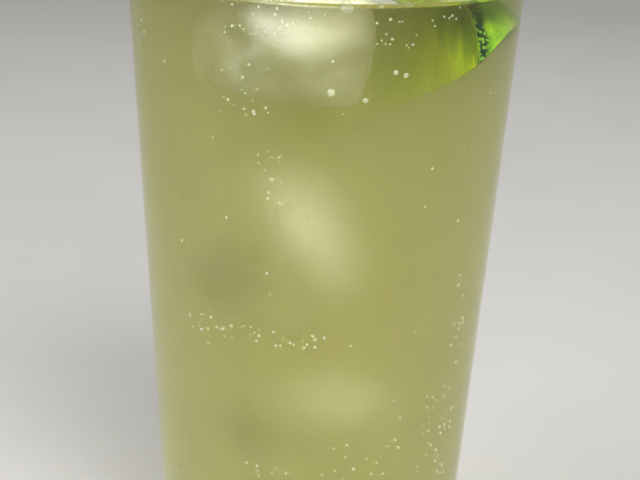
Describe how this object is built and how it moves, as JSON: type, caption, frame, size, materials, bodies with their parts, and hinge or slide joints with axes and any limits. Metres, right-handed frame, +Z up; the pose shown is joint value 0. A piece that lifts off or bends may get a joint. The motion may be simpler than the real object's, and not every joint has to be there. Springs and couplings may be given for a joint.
{
  "type": "iced paloma in a tall glass",
  "caption": "Tall flared tumbler of cloudy pale grapefruit and lime drink, with an ice cube at the surface and a lime wedge against the wall.",
  "frame": {"origin": "centre of the foot ring, on the surface that the glass stands on", "axes": "+Z up the glass's axis, -Y towards the front, +X towards the side where the lime wedge leans on the wall"},
  "size_m": [0.0814, 0.0814, 0.152],
  "materials": {
    "glass": "clear smooth pressed glass, fire polished",
    "drink": "cloudy pale yellow-green juice and soda with fine bubbles",
    "ice": "melting ice with a cloudy white heart",
    "lime": "waxy pitted green rind, pale pith and wet green flesh"
  },
  "bodies": {
    "root": {"glass": "glass", "drink": "drink", "ice_cube": "ice", "lime_wedge": "lime"}
  },
  "joints": []
}
